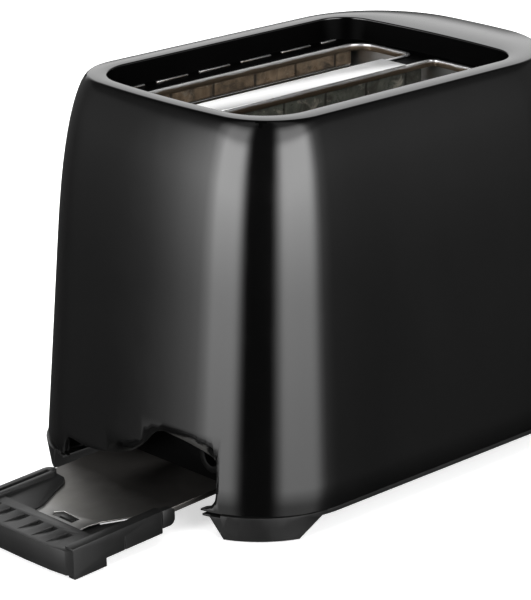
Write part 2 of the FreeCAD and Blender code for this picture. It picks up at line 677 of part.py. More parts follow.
# ---- chassis -------------------------------------------------------------------
def make_slot_frame():
    """Steel top of the chassis: rolled lips line the slots and tabs rise through the slits."""
    plate = box(REAR_PLATE_X - 1, FRONT_PLATE_X + 2, -FRAME_HALF_WIDTH, FRAME_HALF_WIDTH,
                FRAME_Z, FRAME_Z + SHEET)
    collar = slot_prism(SHEET, SKIRT_BOTTOM_Z, LIP_TOP_Z)
    flange = slot_prism(SHEET + LIP_FLANGE, WELL_FLOOR_Z + 0.1, LIP_TOP_Z)
    opening = slot_prism(0.0, SKIRT_BOTTOM_Z - CUT, LIP_TOP_Z + CUT)
    tab_room = Part.Face(well_outline(WELL_DRAFT + PLAY, FRAME_Z))
    tab_room = tab_room.extrude(vec(0, 0, TAB_TOP_Z - FRAME_Z))
    tabs = []
    for index in range(VENT_COUNT):
        middle = VENT_FIRST_X + index * VENT_PITCH
        tab = box(middle - TAB_LENGTH / 2, middle + TAB_LENGTH / 2, VENT_Y - TAB_THICK / 2,
                  VENT_Y + TAB_THICK / 2, FRAME_Z, TAB_TOP_Z)
        tabs += both_sides(tab.common(tab_room))
    frame = fuse([plate] + both_sides(collar) + both_sides(flange) + tabs)
    return frame.cut(both_sides(opening))


def make_centre_divider():
    top_z = LIP_TOP_Z
    cap = box(DIVIDER_NEAR_X, DIVIDER_FAR_X, -DIVIDER_HALF_WIDTH, DIVIDER_HALF_WIDTH,
              top_z, top_z + SHEET)
    leg_y = SLOT_INNER_Y - SHEET - LIP_FLANGE - CLEAR
    pieces = [cap]
    for side in (-1, 1):
        outer = side * leg_y
        inner = side * (leg_y - SHEET)
        pieces.append(box(DIVIDER_NEAR_X + 4, DIVIDER_FAR_X - 4, min(outer, inner),
                          max(outer, inner), FRAME_Z + SHEET, top_z + SHEET))
    return fuse(pieces)


def plate_lightening(x0, x1):
    """Round windows along the plate's upper half, between the boards."""
    windows = []
    for z in (62.0, 96.0, 130.0):
        windows += both_sides(rod(4.0, vec(x0, 44.0, z), vec(x1, 44.0, z)))
    return windows


def rack_gap(x0, x1):
    low = RACK_Z - LIFT_TRAVEL - RACK_HEIGHT - 2.0
    return box(x0, x1, SLOT_MID_Y - 2.0, SLOT_MID_Y + 2.0, low, RACK_Z + 4.0)


def guide_bearings(x0, x1):
    radius = GUIDE_PIVOT_R + RUNNING
    holes = []
    for y in (GUIDE_INNER_Y, GUIDE_OUTER_Y):
        holes += both_sides(rod(radius, vec(x0, y, GUIDE_PIVOT_Z), vec(x1, y, GUIDE_PIVOT_Z)))
    return holes


def end_plate(x, flange_direction):
    """Upright chassis end plate with folded side flanges."""
    plate = box(x, x + SHEET, -PLATE_HALF_WIDTH, PLATE_HALF_WIDTH, CHASSIS_BOTTOM_Z, CHASSIS_TOP_Z)
    reach = x + flange_direction * 8.0
    low, high = min(x, reach), max(x + SHEET, reach)
    flange = box(low, high, PLATE_HALF_WIDTH - SHEET, PLATE_HALF_WIDTH, CHASSIS_BOTTOM_Z + RAIL_HEIGHT + 1,
                 CHASSIS_TOP_Z - 4)
    x0, x1 = x - CUT, x + SHEET + CUT
    cutters = both_sides(rack_gap(x0, x1)) + guide_bearings(x0, x1) + plate_lightening(x0, x1)
    return fuse([plate] + both_sides(flange)).cut(cutters)


def make_rear_plate():
    return end_plate(REAR_PLATE_X, -1)


def make_front_plate():
    plate = end_plate(FRONT_PLATE_X, 1)
    low_z, high_z = CHASSIS_BOTTOM_Z + 1, SPRING_TOP_Z + 1
    seat_low = box(FRONT_PLATE_X, ROD_X + 5, ROD_Y - 6, ROD_Y + 6, low_z, low_z + 1.2)
    seat_high = box(FRONT_PLATE_X, ROD_X + 5, ROD_Y - 6, SPRING_Y + 6, high_z, high_z + 1.2)
    bore = rod(ROD_R, vec(ROD_X, ROD_Y, CHASSIS_BOTTOM_Z), vec(ROD_X, ROD_Y, CHASSIS_TOP_Z))
    return fuse([plate, seat_low, seat_high]).cut(bore)


def make_side_reflector():
    """Thin bright sheet behind the outer heater, ribbed to keep it flat."""
    sheet = box(REAR_PLATE_X + 1.5, FRONT_PLATE_X - 0.7, REFLECTOR_Y, REFLECTOR_Y + SHEET / 2,
                CHASSIS_BOTTOM_Z + 11, CHASSIS_TOP_Z - 1)
    ribs = []
    for index in range(4):
        z = 60.0 + 26.0 * index
        ribs.append(box(REAR_PLATE_X + 8, FRONT_PLATE_X - 8, REFLECTOR_Y - 1.0, REFLECTOR_Y, z, z + 2.0))
    return fuse([sheet] + ribs)


def make_side_rail():
    """Angle section along the bottom of the chassis, standing on the pan's pillars."""
    x0, x1 = REAR_PLATE_X + SHEET + 0.2, FRONT_PLATE_X - 0.2
    foot = box(x0, x1, RAIL_Y - RAIL_WIDTH, RAIL_Y, CHASSIS_BOTTOM_Z, CHASSIS_BOTTOM_Z + SHEET)
    web = box(x0, x1, RAIL_Y - SHEET, RAIL_Y, CHASSIS_BOTTOM_Z, CHASSIS_BOTTOM_Z + RAIL_HEIGHT)
    rail = fuse([foot, web])
    holes = [rod(BASE_SCREW_R, vec(x, PILLAR_Y, 0), vec(x, PILLAR_Y, 60)) for x in PILLAR_X]
    return rail.cut(holes)


# ---- heaters -------------------------------------------------------------------
def board(y):
    """Mica board, held between the end plates by its end tabs."""
    half = BOARD_THICK / 2
    main = box(REAR_PLATE_X + 4, FRONT_PLATE_X - 3, y - half, y + half, BOARD_BOTTOM_Z, BOARD_TOP_Z)
    notches = []
    for index in range(RIBBON_RUNS):
        z = ribbon_height(index)
        for x in (REAR_PLATE_X + 4, FRONT_PLATE_X - 3):
            notches.append(box(x - 1.5, x + 1.5, y - 1, y + 1, z - 1.5, z + 1.5))
    return main.cut(notches)


def ribbon_height(index):
    return RIBBON_LOW_Z + index * (RIBBON_HIGH_Z - RIBBON_LOW_Z) / (RIBBON_RUNS - 1)


def ribbon(y0, y1):
    """One flat heating wire that runs to and fro across a board."""
    x0, x1 = REAR_PLATE_X + 8, FRONT_PLATE_X - 7
    pieces = []
    for index in range(RIBBON_RUNS):
        z = ribbon_height(index)
        pieces.append(box(x0, x1, y0, y1, z - RIBBON_HEIGHT / 2, z + RIBBON_HEIGHT / 2))
        if index + 1 < RIBBON_RUNS:
            end = x1 if index % 2 else x0 + RIBBON_HEIGHT
            pieces.append(box(end - RIBBON_HEIGHT, end, y0, y1, z, ribbon_height(index + 1)))
    return fuse(pieces)


def make_centre_ribbons():
    half = BOARD_THICK / 2
    return both_sides(ribbon(half, half + RIBBON_THICK))


# ---- bread guides --------------------------------------------------------------
def guide(y):
    """Wire cage that swings about its long bottom wire."""
    half_span = 0.5 * (GUIDE_WIRES - 1) * GUIDE_PITCH
    pivot = rod(GUIDE_PIVOT_R, vec(REAR_PLATE_X - 1.5, y, GUIDE_PIVOT_Z),
                vec(FRONT_PLATE_X + 2.3, y, GUIDE_PIVOT_Z))
    top = rod(GUIDE_R, vec(SLOT_MID_X - half_span, y, GUIDE_TOP_Z),
              vec(SLOT_MID_X + half_span, y, GUIDE_TOP_Z))
    pieces = [pivot, top]
    for index in range(GUIDE_WIRES):
        x = SLOT_MID_X - half_span + index * GUIDE_PITCH
        pieces.append(rod(GUIDE_R, vec(x, y, GUIDE_PIVOT_Z), vec(x, y, GUIDE_TOP_Z)))
    return fuse(pieces)


# ---- bread carriage ------------------------------------------------------------
def make_lifter_rack():
    """Upright steel web with flat cross fingers that carry the slice."""
    half = RACK_WIDTH / 2
    web = box(RACK_TAIL_X, BRACKET_X, SLOT_MID_Y - SHEET, SLOT_MID_Y + SHEET,
              RACK_Z - RACK_HEIGHT, RACK_Z)
    pieces = [web]
    first, last = SLOT_NEAR_X + 8.0, SLOT_FAR_X - 8.0
    for index in range(RACK_FINGERS):
        x = first + index * (last - first) / (RACK_FINGERS - 1)
        pieces.append(box(x - 2.0, x + 2.0, SLOT_MID_Y - half, SLOT_MID_Y + half,
                          RACK_Z - 1.2, RACK_Z))
    return fuse(pieces)


def make_carriage_bracket():
    """Plate that joins the two racks, the bush, the lever arm and the armature."""
    plate = box(BRACKET_X, BRACKET_X + 1.5, -SLOT_MID_Y - 6, SLOT_MID_Y + 6,
                RACK_Z - 9, RACK_Z + 8)
    upright = box(BRACKET_X, BRACKET_X + 1.5, -5.0, 8.0, RACK_Z, ARM_Z + ARM_HEIGHT)
    shelf = box(BRACKET_X, 216.0, MAGNET_Y - 6, -SLOT_MID_Y + 2, RACK_Z - 9, RACK_Z - 7.5)
    hook = box(BRACKET_X, ROD_X + 2, SPRING_Y - 3, SPRING_Y + 3, RACK_Z + 6.5, RACK_Z + 8)
    return fuse([plate, upright, shelf, hook])


def make_carriage_bush():
    half = BUSH_SIZE / 2
    low_z = RACK_Z - 8
    block = box(BRACKET_X + 1.5, ROD_X + half, ROD_Y - half, ROD_Y + half,
                low_z, low_z + BUSH_HEIGHT)
    bore = rod(ROD_R + RUNNING, vec(ROD_X, ROD_Y, 0), vec(ROD_X, ROD_Y, 300))
    return block.cut(bore)


def make_armature():
    return box(203.0, 215.0, MAGNET_Y - 5, MAGNET_Y + 5, RACK_Z - 11, RACK_Z - 9)


def make_lever_arm():
    arm = box(BRACKET_X + 1.5, ARM_END_X, -ARM_THICK / 2, ARM_THICK / 2, ARM_Z, ARM_Z + ARM_HEIGHT)
    foot = box(BRACKET_X + 1.5, BRACKET_X + 2.7, -ARM_THICK / 2, 7.0, ARM_Z, ARM_Z + ARM_HEIGHT)
    return fuse([arm, foot])


def make_lever_knob():
    middle_z = ARM_Z + ARM_HEIGHT / 2
    block = box(KNOB_NEAR_X, KNOB_FAR_X, -KNOB_HALF_WIDTH, KNOB_HALF_WIDTH,
                middle_z - KNOB_HEIGHT / 2, middle_z + KNOB_HEIGHT / 2)
    block = block.makeFillet(4.0, block.Edges)
    socket = box(KNOB_NEAR_X - CUT, ARM_END_X, -ARM_THICK / 2, ARM_THICK / 2,
                 ARM_Z, ARM_Z + ARM_HEIGHT)
    return block.cut(socket)


def make_guide_rod():
    return rod(ROD_R, vec(ROD_X, ROD_Y, CHASSIS_BOTTOM_Z - 1), vec(ROD_X, ROD_Y, SPRING_TOP_Z + 5))


def make_return_spring():
    low = RACK_Z + 8.0 + SPRING_WIRE_R + RUNNING
    height = SPRING_TOP_Z + 1.0 - SPRING_WIRE_R - RUNNING - low
    helix = Part.makeHelix(height / SPRING_TURNS, height, SPRING_R)
    ring = Part.Wire(Part.makeCircle(SPRING_WIRE_R, vec(SPRING_R, 0, 0), Y_AXIS))
    coil = Part.Wire(helix).makePipeShell([ring], True, True)
    coil.translate(vec(ROD_X - 2.0, SPRING_Y, low))
    return coil


# ---- electrics and controls ----------------------------------------------------
def make_magnet_core():
    down_z = RACK_Z - 11 - LIFT_TRAVEL - 0.5
    back = box(203.0, 215.0, MAGNET_Y - 5, MAGNET_Y + 5, down_z - 12, down_z - 9)
    legs = []
    for x in (203.0, 212.0):
        legs.append(box(x, x + 3.0, MAGNET_Y - 5, MAGNET_Y + 5, down_z - 12, down_z))
    return fuse([back] + legs)


def make_magnet_coil():
    down_z = RACK_Z - 11 - LIFT_TRAVEL - 0.5
    outer = box(201.5, 207.7, MAGNET_Y - 7, MAGNET_Y + 7, down_z - 8.8, down_z - 1.5)
    return outer.cut(box(203.0, 206.0, MAGNET_Y - 5, MAGNET_Y + 5, down_z - 20, down_z))


def make_control_board():
    x0, x1 = CONTROL_BOARD_X, CONTROL_BOARD_X + CONTROL_BOARD_THICK
    slab = box(x0, x1, -38.0, 38.0, 26.0, 77.0)
    notch = box(x0 - CUT, x1 + CUT, -4.0, 4.0, 66.0, 78.0)
    holes = both_sides(rod(1.6, vec(x0 - CUT, 33.0, 31.0), vec(x1 + CUT, 33.0, 31.0)))
    return slab.cut([notch] + holes)


def make_board_posts():
    """Plastic posts that carry the control board on the pan."""
    posts = []
    for y in (-33.0, 33.0):
        posts.append(box(CONTROL_BOARD_X - 8, CONTROL_BOARD_X, y - 4, y + 4,
                         PAN_FLOOR_Z + PAN_FLOOR_THICK, 36.0))
    return Part.makeCompound(posts)


def make_browning_control():
    """Potentiometer body, with a bush round its shaft."""
    x0 = CONTROL_BOARD_X + CONTROL_BOARD_THICK
    body = box(x0, x0 + 6.5, -8.0, 8.0, DIAL_Z - 8, DIAL_Z + 8)
    bore = rod(POT_SHAFT_R + RUNNING, vec(x0 + 1.5, 0, DIAL_Z), vec(x0 + 20, 0, DIAL_Z))
    return body.cut(bore)


def make_dial_shaft():
    x0 = CONTROL_BOARD_X + CONTROL_BOARD_THICK
    return rod(POT_SHAFT_R, vec(x0 + 2.0, 0, DIAL_Z), vec(BODY_LENGTH + 8.0, 0, DIAL_Z))


def make_browning_dial():
    """Round knob with a finger bar across its face."""
    start = BODY_LENGTH + 0.2
    disc = rod(DIAL_R, vec(start, 0, DIAL_Z), vec(start + 4.0, 0, DIAL_Z))
    core = rod(DIAL_R - 3, vec(start, 0, DIAL_Z), vec(start + DIAL_THICK - 1, 0, DIAL_Z))
    bar = box(start, start + DIAL_THICK, -3.0, 3.0, DIAL_Z - DIAL_R + 2, DIAL_Z + DIAL_R - 2)
    socket = rod(POT_SHAFT_R, vec(start - CUT, 0, DIAL_Z), vec(BODY_LENGTH + 8.0, 0, DIAL_Z))
    return fuse([disc, core, bar]).cut(socket)


def make_dial_pointer():
    start = BODY_LENGTH + 0.2 + DIAL_THICK
    return box(start, start + 0.5, -0.8, 0.8, DIAL_Z + 3, DIAL_Z + DIAL_R - 4)


def make_cancel_button():
    """Cap outside the wall, flange behind it, and a stem that reaches the switch."""
    wall_x = BODY_LENGTH - FAR_END_LEAN * side_inset(BUTTON_Z) - BUTTON_SETBACK
    cap = rod(BUTTON_R, vec(wall_x - 7.0, BUTTON_Y, BUTTON_Z), vec(wall_x + 4.2, BUTTON_Y, BUTTON_Z))
    flange = rod(BUTTON_R + 2.0, vec(wall_x - 7.0, BUTTON_Y, BUTTON_Z),
                 vec(wall_x - 5.6, BUTTON_Y, BUTTON_Z))
    stem_x = CONTROL_BOARD_X + CONTROL_BOARD_THICK + SWITCH_THICK + 2.7
    stem = rod(2.0, vec(stem_x, BUTTON_Y, BUTTON_Z), vec(wall_x - 6.0, BUTTON_Y, BUTTON_Z))
    return fuse([cap, flange, stem])


def make_button_switch():
    x0 = CONTROL_BOARD_X + CONTROL_BOARD_THICK
    return box(x0, x0 + SWITCH_THICK, BUTTON_Y - 3, BUTTON_Y + 3, BUTTON_Z - 3, BUTTON_Z + 3)


def make_switch_block():
    """Mains contacts that close when the carriage is down, on the pan."""
    base = box(199.0, 212.0, SWITCH_NEAR_Y, SWITCH_FAR_Y, PAN_FLOOR_Z + PAN_FLOOR_THICK, 26.0)
    leaves = []
    for x in (201.0, 206.0):
        leaves.append(box(x, x + 0.6, SWITCH_NEAR_Y + 2, SWITCH_FAR_Y - 2, 26.0, 34.0))
    return fuse([base] + leaves)


def make_terminal_block():
    base = box(18.6, 27.6, -56.0, -36.0, 51.0, 61.0)
    holes = [rod(1.6, vec(18, y, 56), vec(28, y, 56)) for y in (-51.0, -46.0, -41.0)]
    return base.cut(holes)


def make_chassis_screws():
    """Screws that hold the end plates to the side rails."""
    screws = []
    for y in (-RAIL_Y + 4.0, RAIL_Y - 4.0):
        for x, direction in ((REAR_PLATE_X, -1), (FRONT_PLATE_X + SHEET, 1)):
            head = rod(2.2, vec(x, y, 160.0), vec(x + direction * 1.6, y, 160.0))
            screws.append(head)
    return Part.makeCompound(screws)


def build():
    os.makedirs(PART_FOLDER, exist_ok=True)
    save("body_shell", make_body_shell())
    save("well_floor", make_well_floor())
    save("control_panel", make_control_panel())
    save("base_pan", make_base_pan())
    save("foot_pads", Part.makeCompound(foot_pads()))
    save("base_screws", make_base_screws())
    save("recess_panel", make_recess_panel())
    save("cord_gland", make_cord_gland())
    save("crumb_tray", make_crumb_tray())
    save("tray_handle", make_tray_handle())
    save("slot_frame", make_slot_frame())
    save("centre_divider", make_centre_divider())
    save("rear_chassis_plate", make_rear_plate())
    save("front_chassis_plate", make_front_plate())
    for name, shape in zip(("left", "right"), both_sides(make_side_reflector())):
        save(name + "_reflector", shape)
    for name, shape in zip(("left", "right"), both_sides(make_side_rail())):
        save(name + "_rail", shape)
    for name, y in (("left", BOARD_Y), ("centre", 0.0), ("right", -BOARD_Y)):
        save(name + "_heater_board", board(y))
    face = BOARD_Y - BOARD_THICK / 2
    for name, shape in zip(("left", "right"), both_sides(ribbon(face - RIBBON_THICK, face))):
        save(name + "_heating_wire", shape)
    save("centre_heating_wires", Part.makeCompound(make_centre_ribbons()))
    for name, shape in zip(("left", "right"), both_sides(guide(GUIDE_INNER_Y))):
        save(name + "_inner_guide", shape)
    for name, shape in zip(("left", "right"), both_sides(guide(GUIDE_OUTER_Y))):
        save(name + "_outer_guide", shape)
    for name, shape in zip(("left", "right"), both_sides(make_lifter_rack())):
        save(name + "_bread_lifter", shape)
    save("carriage_bracket", make_carriage_bracket())
    save("carriage_bush", make_carriage_bush())
    save("armature_plate", make_armature())
    save("lever_arm", make_lever_arm())
    save("lever_knob", make_lever_knob())
    save("guide_rod", make_guide_rod())
    save("return_spring", make_return_spring())
    save("magnet_core", make_magnet_core())
    save("magnet_coil", make_magnet_coil())
    save("control_board", make_control_board())
    save("board_posts", make_board_posts())
    save("browning_control", make_browning_control())
    save("dial_shaft", make_dial_shaft())
    save("browning_dial", make_browning_dial())
    save("dial_pointer", make_dial_pointer())
    save("cancel_button", make_cancel_button())
    save("button_switch", make_button_switch())
    save("switch_block", make_switch_block())
    save("terminal_block", make_terminal_block())
    save("chassis_screws", make_chassis_screws())


build()
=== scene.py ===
"""Looks for the two-slice pop-up toaster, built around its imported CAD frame."""
import json
import math

import bmesh
import bpy
from mathutils import Matrix, Vector


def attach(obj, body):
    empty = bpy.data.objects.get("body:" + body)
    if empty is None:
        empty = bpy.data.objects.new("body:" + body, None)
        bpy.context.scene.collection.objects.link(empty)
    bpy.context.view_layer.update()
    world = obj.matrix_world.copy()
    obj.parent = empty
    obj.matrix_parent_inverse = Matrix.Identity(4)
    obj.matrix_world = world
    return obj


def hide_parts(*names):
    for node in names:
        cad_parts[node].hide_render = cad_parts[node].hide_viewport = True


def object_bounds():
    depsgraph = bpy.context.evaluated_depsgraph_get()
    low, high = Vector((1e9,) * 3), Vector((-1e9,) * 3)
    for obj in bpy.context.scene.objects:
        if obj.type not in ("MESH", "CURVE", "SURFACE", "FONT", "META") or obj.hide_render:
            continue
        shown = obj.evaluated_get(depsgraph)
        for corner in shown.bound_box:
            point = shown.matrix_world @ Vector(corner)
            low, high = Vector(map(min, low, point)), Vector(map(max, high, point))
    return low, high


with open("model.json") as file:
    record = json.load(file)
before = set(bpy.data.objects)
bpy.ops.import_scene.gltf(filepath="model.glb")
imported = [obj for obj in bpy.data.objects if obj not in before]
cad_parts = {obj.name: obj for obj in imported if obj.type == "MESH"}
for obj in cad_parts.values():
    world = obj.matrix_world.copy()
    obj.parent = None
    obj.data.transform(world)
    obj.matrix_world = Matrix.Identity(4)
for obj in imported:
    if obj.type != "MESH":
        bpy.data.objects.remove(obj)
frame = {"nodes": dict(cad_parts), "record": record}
cad_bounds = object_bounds()
NODES = frame["nodes"]
SLOT_OF = {row["node"]: row["material_slot"] for row in frame["record"]["subparts"]}
BODIES = frame["record"]["behaviour"]["bodies"]
BODY_OF = {node: body for body, nodes in BODIES.items() for node in nodes}

# Millimetres below are the drawing's own: x = 0 is the foot of the crumb tray's end wall.
MM = 0.001
LEVER_KNOB_TIP_X = 270.0
ORIGIN_X = LEVER_KNOB_TIP_X - cad_bounds[1][0] / MM


def place(x, y, z):
    """A point of the drawing, in the frame's metres."""
    return Vector(((x - ORIGIN_X) * MM, y * MM, z * MM))


# ---- materials -----------------------------------------------------------------
class Nodes:
    """A node tree with short calls for adding and joining nodes."""

    def __init__(self, tree):
        self.tree = tree

    def add(self, kind, inputs=None, **settings):
        node = self.tree.nodes.new(kind)
        for key, value in settings.items():
            setattr(node, key, value)
        for key, value in (inputs or {}).items():
            self.feed(node.inputs[key], value)
        return node

    def feed(self, socket, value):
        if isinstance(value, bpy.types.NodeSocket):
            self.tree.links.new(value, socket)
        else:
            socket.default_value = value

    def math(self, operation, a, b=0.0):
        node = self.add("ShaderNodeMath", operation=operation)
        self.feed(node.inputs[0], a)
        self.feed(node.inputs[1], b)
        return node.outputs[0]

    def span(self, value, low, high, to_low, to_high, smooth=False):
        kind = "SMOOTHSTEP" if smooth else "LINEAR"
        ends = {"Value": value, "From Min": low, "From Max": high, "To Min": to_low, "To Max": to_high}
        return self.add("ShaderNodeMapRange", ends, interpolation_type=kind).outputs["Result"]

    def noise(self, where, scale, detail=3.0, roughness=0.5, distortion=0.0):
        inputs = {"Vector": where, "Scale": scale, "Detail": detail, "Roughness": roughness,
                  "Distortion": distortion}
        return self.add("ShaderNodeTexNoise", inputs).outputs["Fac"]

    def mix(self, factor, a, b):
        node = self.add("ShaderNodeMix", data_type="RGBA")
        self.feed(node.inputs["Factor"], factor)
        self.feed(node.inputs["A"], a)
        self.feed(node.inputs["B"], b)
        return node.outputs["Result"]

    def bump(self, height, strength, distance, normal=None):
        node = self.add("ShaderNodeBump", {"Strength": strength, "Distance": distance, "Height": height})
        if normal is not None:
            self.feed(node.inputs["Normal"], normal)
        return node.outputs["Normal"]

    def where(self, stretch=(1.0, 1.0, 1.0)):
        """Position on the object in metres, stretched."""
        spot = self.add("ShaderNodeTexCoord").outputs["Object"]
        return self.add("ShaderNodeMapping", {"Vector": spot, "Scale": stretch}).outputs["Vector"]


def new_material(name):
    material = bpy.data.materials.new("toaster_" + name)
    material.use_nodes = True
    nodes = Nodes(material.node_tree)
    return material, nodes, material.node_tree.nodes["Principled BSDF"]


def grey(value, warm=0.0):
    return (value * (1 + warm), value, value * (1 - warm), 1.0)


def worn(nodes, amount):
    """High in patches along edges, where a rounded normal would leave the real one."""
    eased = nodes.add("ShaderNodeBevel", {"Radius": 0.0009}, samples=4).outputs["Normal"]
    real = nodes.add("ShaderNodeNewGeometry").outputs["Normal"]
    likeness = nodes.add("ShaderNodeVectorMath", operation="DOT_PRODUCT")
    nodes.feed(likeness.inputs[0], eased)
    nodes.feed(likeness.inputs[1], real)
    edge = nodes.span(likeness.outputs["Value"], 0.985, 0.90, 0.0, amount)
    patchy = nodes.span(nodes.noise(nodes.where(), 240.0, 3.0), 0.42, 0.7, 0.0, 1.0)
    return nodes.math("MULTIPLY", edge, patchy)


def plastic(name, dark, light, rough, texture, depth, shine=0.5, wear=0.012):
    """Moulded plastic: flow marks, smudges, rubbed edges and a skin texture of the given size."""
    material, nodes, shader = new_material(name)
    flow = nodes.noise(nodes.where((1.0, 1.0, 0.35)), 14.0, 3.0, 0.55, 0.4)
    tone = nodes.mix(nodes.span(flow, 0.35, 0.68, 0.0, 1.0), dark, light)
    rubbed = tuple(c + wear for c in light[:3]) + (1.0,)
    tone = nodes.mix(worn(nodes, 0.8), tone, rubbed)
    nodes.feed(shader.inputs["Base Color"], tone)
    marks = nodes.noise(nodes.where(), 34.0, 5.0, 0.62, 0.8)
    low, high = rough
    dull = nodes.span(marks, 0.42, 0.74, low, high, smooth=True)
    dust = nodes.span(nodes.noise(nodes.where(), 1700.0, 2.0), 0.68, 0.8, 0.0, 0.03)
    nodes.feed(shader.inputs["Roughness"], nodes.math("ADD", dull, dust))
    skin = nodes.noise(nodes.where(), texture, 4.0, 0.6)
    nodes.feed(shader.inputs["Normal"], nodes.bump(skin, 0.5, depth))
    shader.inputs["IOR"].default_value = 1.5
    shader.inputs["Specular IOR Level"].default_value = shine
    return material


def lip_steel():
    """Bright sheet whose skirts, inside the slots, are browned by the heat."""
    material = metal("slot_steel", grey(0.88), grey(0.95), (0.28, 0.38), ALONG_X, 0.00001)
    nodes = Nodes(material.node_tree)
    shader = material.node_tree.nodes["Principled BSDF"]
    bright = shader.inputs["Base Color"].links[0].from_socket
    spot = nodes.add("ShaderNodeTexCoord").outputs["Object"]
    height = nodes.add("ShaderNodeSeparateXYZ", {"Vector": spot}).outputs["Z"]
    uneven = nodes.span(nodes.noise(nodes.where(), 90.0, 4.0), 0.3, 0.7, -0.3 * MM, 0.3 * MM)
    ragged = nodes.math("ADD", height, uneven)
    burnt = nodes.span(ragged, BURNT_BELOW_Z * MM, CLEAN_ABOVE_Z * MM, 1.0, 0.0, smooth=True)
    nodes.feed(shader.inputs["Base Color"], nodes.mix(burnt, bright, (0.30, 0.235, 0.17, 1.0)))
    return material


def tray_with_painted_shade():
    """Brushed tray steel with painted shade: its colour darkens from the tip towards the housing's end
    wall.
    """
    material = metal("tray_steel", grey(0.80), grey(0.92), (0.42, 0.56), ALONG_X, 0.00003,
                     anisotropic=0.4)
    nodes = Nodes(material.node_tree)
    shader = material.node_tree.nodes["Principled BSDF"]
    unshaded_tone = shader.inputs["Base Color"].links[0].from_socket
    spot = nodes.add("ShaderNodeTexCoord").outputs["Object"]
    along = nodes.add("ShaderNodeSeparateXYZ", {"Vector": spot}).outputs["X"]
    # Painted shade: the tray's colour goes from its own tone at the tip through grey to near black
    # towards the housing, with a cloudy edge.
    clouds = nodes.span(nodes.noise(nodes.where(), 30.0, 4.0), 0.3, 0.7, -5.0 * MM, 5.0 * MM)
    unshaded_x, shaded_x = place(UNSHADED_TRAY_X, 0.0, 0.0).x, place(DEEPEST_SHADE_TRAY_X, 0.0, 0.0).x
    painted_shade = nodes.span(nodes.math("ADD", along, clouds), unshaded_x, shaded_x, 0.0, 1.0)
    first = nodes.mix(nodes.span(painted_shade, 0.0, 0.45, 0.0, 1.0), unshaded_tone, (0.42, 0.41, 0.39, 1.0))
    shaded_tone = nodes.mix(nodes.span(painted_shade, 0.45, 1.0, 0.0, 1.0), first, (0.10, 0.095, 0.09, 1.0))
    nodes.feed(shader.inputs["Base Color"], shaded_tone)
    return material


def metal(name, dark, light, rough, grain, depth, stain=None, anisotropic=0.0):
    """Sheet or wire metal: a drawn or brushed grain, cloudy tarnish and fine scratches."""
    material, nodes, shader = new_material(name)
    lines = nodes.noise(nodes.where(grain), 1.0, 4.0, 0.6)
    clouds = nodes.noise(nodes.where(), 46.0, 4.0, 0.6, 0.5)
    tone = nodes.mix(nodes.span(clouds, 0.35, 0.7, 0.0, 1.0), dark, light)
    tone = nodes.mix(nodes.span(lines, 0.3, 0.8, 0.0, 0.35), tone, dark)
    if stain is not None:
        patch = nodes.noise(nodes.where(), 20.0, 5.0, 0.7, 1.2)
        tone = nodes.mix(nodes.span(patch, 0.45, 0.75, 0.0, 0.6, smooth=True), tone, stain)
    nodes.feed(shader.inputs["Base Color"], tone)
    shader.inputs["Metallic"].default_value = 1.0
    low, high = rough
    uneven = nodes.math("MULTIPLY", nodes.math("ADD", lines, clouds), 0.5)
    nodes.feed(shader.inputs["Roughness"], nodes.span(uneven, 0.3, 0.72, low, high))
    scratches = nodes.noise(nodes.where(tuple(2.3 * g for g in grain)), 1.0, 2.0, 0.7, 0.3)
    nodes.feed(shader.inputs["Normal"], nodes.bump(nodes.math("ADD", lines, scratches), 0.4, depth))
    shader.inputs["Anisotropic"].default_value = anisotropic
    return material


def mica(name):
    """Layered mica: mottled flakes, pressed seams and heat marks, browner away from the middle."""
    material, nodes, shader = new_material(name)
    spot = nodes.add("ShaderNodeTexCoord").outputs["Object"]
    along = nodes.add("ShaderNodeSeparateXYZ", {"Vector": spot})
    flakes = nodes.add("ShaderNodeTexVoronoi", {"Vector": nodes.where((1.0, 1.0, 0.7)), "Scale": 260.0,
                                                "Randomness": 1.0})
    cloud = nodes.noise(nodes.where(), 62.0, 6.0, 0.7, 1.8)
    brown = nodes.mix(flakes.outputs["Distance"], (0.10, 0.068, 0.042, 1.0), (0.25, 0.185, 0.125, 1.0))
    slate = nodes.mix(flakes.outputs["Distance"], (0.055, 0.06, 0.05, 1.0), (0.15, 0.155, 0.13, 1.0))
    outward = nodes.span(nodes.math("ABSOLUTE", along.outputs["Y"]), 0.01, 0.03, 0.0, 1.0)
    tone = nodes.mix(outward, slate, brown)
    tone = nodes.mix(nodes.span(cloud, 0.42, 0.7, 0.0, 0.9, smooth=True), tone, (0.03, 0.026, 0.02, 1.0))
    patches = nodes.noise(nodes.where(), 110.0, 3.0, 0.6, 1.0)
    pale = nodes.span(patches, 0.6, 0.72, 0.0, 0.6, smooth=True)
    tone = nodes.mix(pale, tone, (0.42, 0.38, 0.32, 1.0))
    phase = nodes.math("FRACT", nodes.math("MULTIPLY", along.outputs["X"], 1.0 / SEAM_PITCH))
    from_middle = nodes.math("ABSOLUTE", nodes.math("SUBTRACT", phase, 0.5))
    seam = nodes.span(from_middle, 0.455, 0.485, 0.0, 1.0, smooth=True)
    tone = nodes.mix(nodes.math("MULTIPLY", seam, 0.8), tone, (0.012, 0.01, 0.008, 1.0))
    nodes.feed(shader.inputs["Base Color"], tone)
    nodes.feed(shader.inputs["Roughness"], nodes.span(cloud, 0.3, 0.7, 0.22, 0.45))
    relief = nodes.math("SUBTRACT", flakes.outputs["Distance"], seam)
    nodes.feed(shader.inputs["Normal"], nodes.bump(relief, 0.5, 0.0004))
    shader.inputs["Coat Weight"].default_value = 0.3
    shader.inputs["Coat Roughness"].default_value = 0.2
    return material


